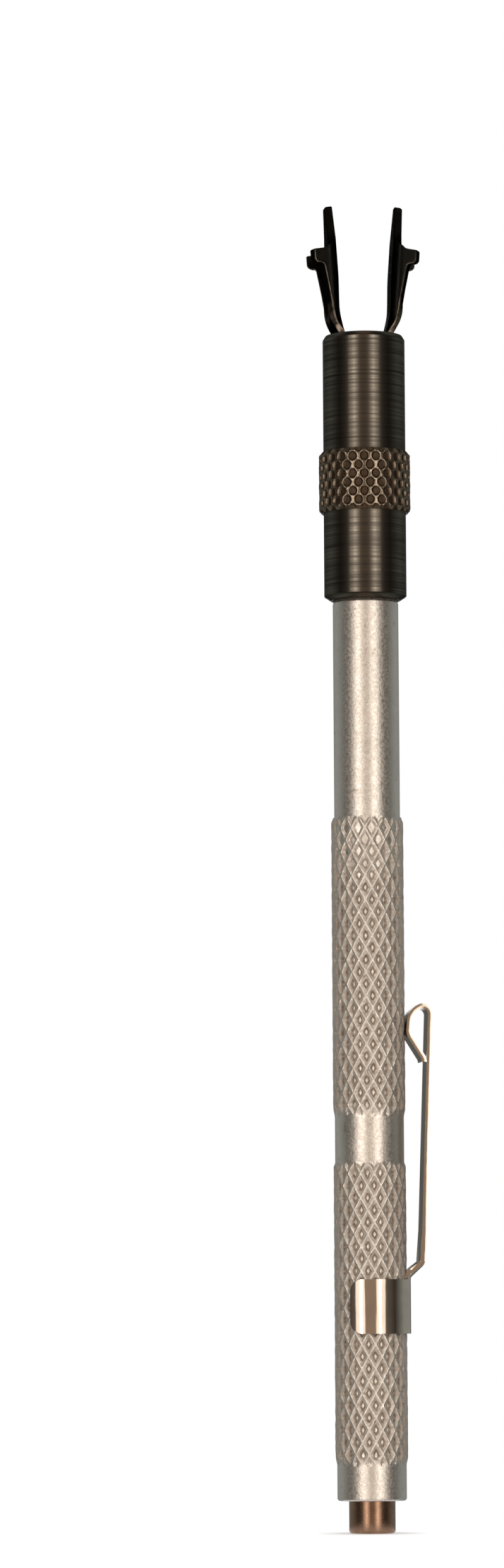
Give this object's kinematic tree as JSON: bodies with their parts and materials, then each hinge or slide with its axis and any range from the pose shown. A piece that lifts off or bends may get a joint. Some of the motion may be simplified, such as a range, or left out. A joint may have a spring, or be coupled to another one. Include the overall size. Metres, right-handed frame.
{
  "type": "screw starter",
  "caption": "Pen-shaped screw starter: knurled aluminium handle with pocket clip and foot magnet, and spring jaws that a sliding dark steel sleeve closes on a screw head.",
  "frame": {"origin": "centre of the magnet's end face, at the foot of the handle", "axes": "+Z along the handle towards the jaw tips, +X from the handle's axis to the pocket clip; the jaws spread in the X-Z plane"},
  "size_m": [0.0137, 0.0106, 0.1537],
  "materials": {
    "handle_aluminium": "turned and knurled, fine grain",
    "magnet_metal": "ground cast magnet, brown-grey",
    "clip_steel": "bright polished spring steel",
    "sleeve_steel": "turned, dark oxide",
    "jaw_steel": "stamped spring steel, black oxide",
    "inner_steel": "plain bright steel"
  },
  "bodies": {
    "handle": {"barrel": "handle_aluminium", "magnet": "magnet_metal", "pocket_clip": "clip_steel", "left_tang": "jaw_steel", "right_tang": "jaw_steel", "tang_spacer": "inner_steel", "jaw_pin": "inner_steel"},
    "sleeve": {"sleeve": "sleeve_steel"},
    "left_jaw": {"left_jaw": "jaw_steel"},
    "right_jaw": {"right_jaw": "jaw_steel"}
  },
  "joints": [
    {"name": "sleeve_slide", "type": "slide", "parent": "handle", "child": "sleeve", "axis": [0, 0, 1], "range_m": [0, 0.008]},
    {"name": "left_jaw_bend", "type": "hinge", "parent": "handle", "child": "left_jaw", "pos_m": [-0.00089, 0, 0.1296], "axis": [0, 1, 0], "range_deg": [0, 7.95]},
    {"name": "right_jaw_bend", "type": "hinge", "parent": "handle", "child": "right_jaw", "pos_m": [0.00089, 0, 0.1296], "axis": [0, 1, 0], "range_deg": [-7.95, 0]}
  ],
  "couplings": [
    {"joint": "left_jaw_bend", "follows": "sleeve_slide", "rad_per_m": 17.235},
    {"joint": "right_jaw_bend", "follows": "sleeve_slide", "rad_per_m": -17.235}
  ]
}
